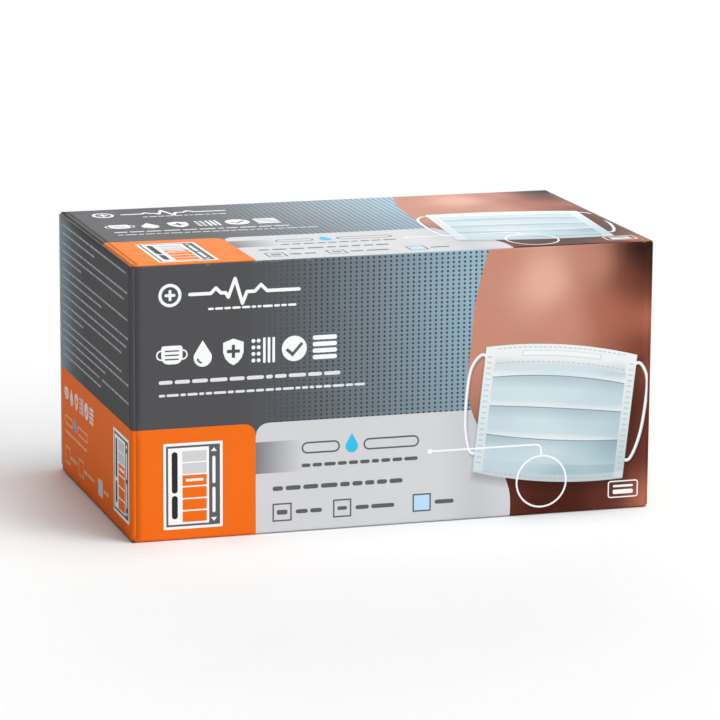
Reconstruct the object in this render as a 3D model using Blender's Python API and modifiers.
"""Tuck-end folding carton of printed paperboard, modelled as the board it is folded from.

Each piece is a flat sheet, bent along its creases and thickened to the board. Lengths are in
metres and +Z is up. The main display wall faces -Y. The carton stands on Z = 0, centred on the
Z axis, with its long side along X. Its four walls are one glued strip. Each end is shut by a
closing panel hinged on the front wall, whose tongue tucks in behind the back wall. A dust flap
hinged on the top wall and another on the bottom wall lie behind each closing panel.
"""
from math import asin, cos, hypot, pi, sin, sqrt, tan, radians

import bmesh
import bpy
from mathutils import Vector

# Outside of the closed carton
LENGTH = 0.190
WIDTH = 0.112
HEIGHT = 0.097

# Board, and the clearance that separate pieces keep
BOARD = 0.0005
GAP = 0.0003

# Folds, measured on the printed face, which is the outside of every fold
FOLD_RADIUS = 0.0009
FOLD_STEPS = 4
QUARTER_TURN = pi / 2

# Glue flap: runs along the back wall's foot and is glued to the bottom wall's inner face
GLUE_FLAP_WIDTH = 0.015
GLUE_FLAP_INSET = 0.012
GLUE_FLAP_TAPER = 0.004
GLUE_LINE = 0.0003

# Closing panel and its tuck tongue
PANEL_EDGE_CLEARANCE = 0.0004
TONGUE_LENGTH = 0.015
TONGUE_SIDE_CUT = 0.004
TONGUE_CORNER = 0.010
TONGUE_SWING_MARGIN = radians(2.0)

# Dust flaps
DUST_FLAP_TIP_GAP = 0.012
DUST_FLAP_SIDE_CLEARANCE = 0.0015
DUST_FLAP_SHOULDER = 0.008
DUST_FLAP_TAPER = radians(8.0)
DUST_FLAP_CORNER = 0.008

CORNER_STEPS = 6

# Printed dark grey, printed orange and bare white board
DARK_PRINT = (0.098, 0.098, 0.102, 1.0)
ORANGE_PRINT = (0.905, 0.168, 0.014, 1.0)
BARE_BOARD = (0.72, 0.71, 0.68, 1.0)
PRINT_ROUGHNESS = 0.35
BOARD_ROUGHNESS = 0.75

# The closing panels stand in front of the top, bottom and front walls' ends
WALL_END = LENGTH / 2 - BOARD - GAP
# The tongue's printed face runs just inside the back wall
TONGUE_FACE = WIDTH / 2 - BOARD - GAP
# The closing panel turns about the middle of its own thickness, at the front corner
PANEL_PIVOT_INSET = BOARD / 2
# The tongue leans in just enough to swing clear of the back wall in one rigid piece
SWING_RADIUS = TONGUE_FACE + WIDTH / 2 - PANEL_PIVOT_INSET
TONGUE_LEAN = asin(TONGUE_LENGTH / 2 / SWING_RADIUS) + TONGUE_SWING_MARGIN
# Dust flaps start one clearance inside their wall and turn about their own root
DUST_FLAP_ROOT = BOARD + GAP
DUST_FLAP_DEPTH = (HEIGHT - DUST_FLAP_TIP_GAP) / 2 - DUST_FLAP_ROOT
DUST_FLAP_FRONT = -WIDTH / 2 + BOARD + DUST_FLAP_SIDE_CLEARANCE
DUST_FLAP_BACK = TONGUE_FACE - BOARD - TONGUE_LENGTH * sin(TONGUE_LEAN) - DUST_FLAP_SIDE_CLEARANCE


def start_empty():
    """Remove what the scene holds and return a new collection for the carton."""
    for obj in list(bpy.data.objects):
        bpy.data.objects.remove(obj, do_unlink=True)
    carton = bpy.data.collections.new("face_mask_carton")
    bpy.context.scene.collection.children.link(carton)
    return carton


def board_material(name, colour, roughness):
    """Return a Principled material for one side of board."""
    material = bpy.data.materials.new(name)
    material.use_nodes = True
    shader = material.node_tree.nodes["Principled BSDF"]
    shader.inputs["Base Color"].default_value = colour
    shader.inputs["Roughness"].default_value = roughness
    shader.inputs["Metallic"].default_value = 0.0
    return material


def round_corner(before, corner, after, radius):
    """Return the points of an arc that rounds one corner of a flat outline."""
    back = (Vector(before) - Vector(corner)).normalized()
    ahead = (Vector(after) - Vector(corner)).normalized()
    half_angle = back.angle(ahead) / 2
    start = Vector(corner) + back * radius / tan(half_angle)
    middle = Vector(corner) + (back + ahead).normalized() * radius / sin(half_angle)
    turn = pi - 2 * half_angle
    side = 1 if back.x * ahead.y - back.y * ahead.x < 0 else -1
    points = []
    for step in range(CORNER_STEPS + 1):
        angle = side * turn * step / CORNER_STEPS
        arm = start - middle
        x = middle.x + arm.x * cos(angle) - arm.y * sin(angle)
        y = middle.y + arm.x * sin(angle) + arm.y * cos(angle)
        points.append((x, y))
    return points


def fold_walk(creases, distance):
    """Walk along the printed face of a folded strip and return the place reached.

    The walk starts straight ahead. Each crease is (where it starts, how far it turns), and turns
    left on the fold radius.
    """
    ahead = 0.0
    aside = 0.0
    heading = 0.0
    walked = 0.0
    for start, turn in creases:
        if distance <= start:
            break
        ahead += (start - walked) * cos(heading)
        aside += (start - walked) * sin(heading)
        bent = min((distance - start) / FOLD_RADIUS, turn)
        ahead += FOLD_RADIUS * (sin(heading + bent) - sin(heading))
        aside += FOLD_RADIUS * (cos(heading) - cos(heading + bent))
        heading += bent
        walked = start + bent * FOLD_RADIUS
    ahead += (distance - walked) * cos(heading)
    aside += (distance - walked) * sin(heading)
    return ahead, aside


def outline_area(outline):
    """Return the signed area of a flat outline."""
    following = outline[1:] + outline[:1]
    return sum(x * y_next - x_next * y for (x, y), (x_next, y_next) in zip(outline, following)) / 2


def folded_board(name, carton, material, outline, creases, start, along, inward, pivot):
    """Cut a flat outline from board, fold it and place it as one object.

    The outline's points are (distance along the fold walk, place along the crease). The walk
    begins at start and heads along; inward is the side of the sheet that its thickness takes.
    """
    along = Vector(along)
    inward = Vector(inward)
    crease_way = along.cross(inward)
    if outline_area(outline) < 0:
        outline = outline[::-1]
    sheet = bmesh.new()
    sheet.faces.new([sheet.verts.new((u, v, 0.0)) for u, v in outline])
    for crease_start, turn in creases:
        for step in range(FOLD_STEPS + 1):
            cut = crease_start + turn * FOLD_RADIUS * step / FOLD_STEPS
            geometry = sheet.verts[:] + sheet.edges[:] + sheet.faces[:]
            bmesh.ops.bisect_plane(sheet, geom=geometry, dist=1e-7, plane_co=(cut, 0, 0), plane_no=(1, 0, 0))
    for vertex in sheet.verts:
        ahead, aside = fold_walk(creases, vertex.co.x)
        place = Vector(start) + along * ahead + inward * aside + crease_way * vertex.co.y
        vertex.co = place - Vector(pivot)
    mesh = bpy.data.meshes.new(name)
    sheet.to_mesh(mesh)
    sheet.free()
    mesh.materials.append(material)
    piece = bpy.data.objects.new(name, mesh)
    piece.location = pivot
    carton.objects.link(piece)
    wall = piece.modifiers.new("board", "SOLIDIFY")
    wall.thickness = BOARD
    wall.offset = -1.0
    wall.use_even_offset = True
    return piece


def make_sleeve(carton):
    """Fold the four walls and the glue flap from one strip."""
    arc = FOLD_RADIUS * QUARTER_TURN
    glue_face = BOARD + GLUE_LINE
    glue_end = WALL_END - GLUE_FLAP_INSET
    stretches = [
        (GLUE_FLAP_WIDTH - FOLD_RADIUS, glue_end - GLUE_FLAP_TAPER, glue_end),
        (arc, glue_end, glue_end),
        (HEIGHT - glue_face - 2 * FOLD_RADIUS, LENGTH / 2, LENGTH / 2),
        (arc, WALL_END, WALL_END),
        (WIDTH - 2 * FOLD_RADIUS, WALL_END, WALL_END),
        (arc, WALL_END, WALL_END),
        (HEIGHT - 2 * FOLD_RADIUS, WALL_END, WALL_END),
        (arc, WALL_END, WALL_END),
        (WIDTH - FOLD_RADIUS - GAP, WALL_END, WALL_END),
    ]
    edge = []
    creases = []
    walked = 0.0
    for number, (length, reach_before, reach_after) in enumerate(stretches):
        if number % 2:
            creases.append((walked, QUARTER_TURN))
        edge.append((walked, reach_before))
        walked += length
        edge.append((walked, reach_after))
    right_edge = [point for point, last in zip(edge, [None] + edge) if point != last]
    left_edge = [(u, -v) for u, v in reversed(right_edge)]
    material = board_material("dark_printed_board", DARK_PRINT, PRINT_ROUGHNESS)
    start = (0.0, WIDTH / 2 - GLUE_FLAP_WIDTH, glue_face)
    folded_board(
        "carton_sleeve", carton, material, right_edge + left_edge, creases,
        start, (0, 1, 0), (0, 0, 1), (0.0, 0.0, 0.0),
    )


def make_end_flap(carton, side, sign):
    """Fold one closing panel with its tuck tongue; sign is -1 at the left end and 1 at the right."""
    turn = QUARTER_TURN + TONGUE_LEAN
    panel_length = TONGUE_FACE + WIDTH / 2 - FOLD_RADIUS
    tongue_start = panel_length + turn * FOLD_RADIUS
    tongue_end = tongue_start + TONGUE_LENGTH - FOLD_RADIUS
    panel_half = HEIGHT / 2 - PANEL_EDGE_CLEARANCE
    tongue_half = HEIGHT / 2 - TONGUE_SIDE_CUT
    corner = round_corner(
        (tongue_start, tongue_half), (tongue_end, tongue_half), (tongue_end, -tongue_half), TONGUE_CORNER
    )
    upper_edge = [(0.0, panel_half), (panel_length, panel_half), (panel_length, tongue_half)] + corner
    lower_edge = [(u, -v) for u, v in reversed(upper_edge)]
    material = board_material("orange_printed_board_" + side, ORANGE_PRINT, PRINT_ROUGHNESS)
    outer_face = sign * LENGTH / 2
    pivot = (outer_face - sign * PANEL_PIVOT_INSET, -WIDTH / 2 + PANEL_PIVOT_INSET, HEIGHT / 2)
    folded_board(
        "end_flap_" + side, carton, material, upper_edge + lower_edge, [(panel_length, turn)],
        (outer_face, -WIDTH / 2, HEIGHT / 2), (0, 1, 0), (-sign, 0, 0), pivot,
    )


def make_dust_flap(carton, side, sign, level, root_height, down):
    """Cut one dust flap; down is -1 for a flap that hangs and 1 for a flap that stands."""
    front = DUST_FLAP_FRONT
    back = DUST_FLAP_BACK
    taper = (DUST_FLAP_DEPTH - DUST_FLAP_SHOULDER) * tan(DUST_FLAP_TAPER)
    front_tip = (DUST_FLAP_DEPTH, front + taper)
    back_tip = (DUST_FLAP_DEPTH, back - taper)
    front_shoulder = (DUST_FLAP_SHOULDER, front)
    back_shoulder = (DUST_FLAP_SHOULDER, back)
    outline = [(0.0, front), front_shoulder]
    outline += round_corner(front_shoulder, front_tip, back_tip, DUST_FLAP_CORNER)
    outline += round_corner(front_tip, back_tip, back_shoulder, DUST_FLAP_CORNER)
    outline += [back_shoulder, (0.0, back)]
    along = Vector((0, 0, down))
    inward = Vector((-sign, 0, 0))
    crease_way = along.cross(inward).y
    outline = [(u, y * crease_way) for u, y in outline]
    material = board_material("bare_board_" + side + "_" + level, BARE_BOARD, BOARD_ROUGHNESS)
    pivot = (sign * (WALL_END - BOARD / 2), 0.0, root_height + down * BOARD / 2)
    folded_board(
        "dust_flap_" + side + "_" + level, carton, material, outline, [],
        (sign * WALL_END, 0.0, root_height), along, inward, pivot,
    )


def main():
    """Build every piece of the carton."""
    carton = start_empty()
    make_sleeve(carton)
    for side, sign in (("left", -1), ("right", 1)):
        make_end_flap(carton, side, sign)
        make_dust_flap(carton, side, sign, "top", HEIGHT - DUST_FLAP_ROOT, -1)
        make_dust_flap(carton, side, sign, "bottom", DUST_FLAP_ROOT, 1)


main()
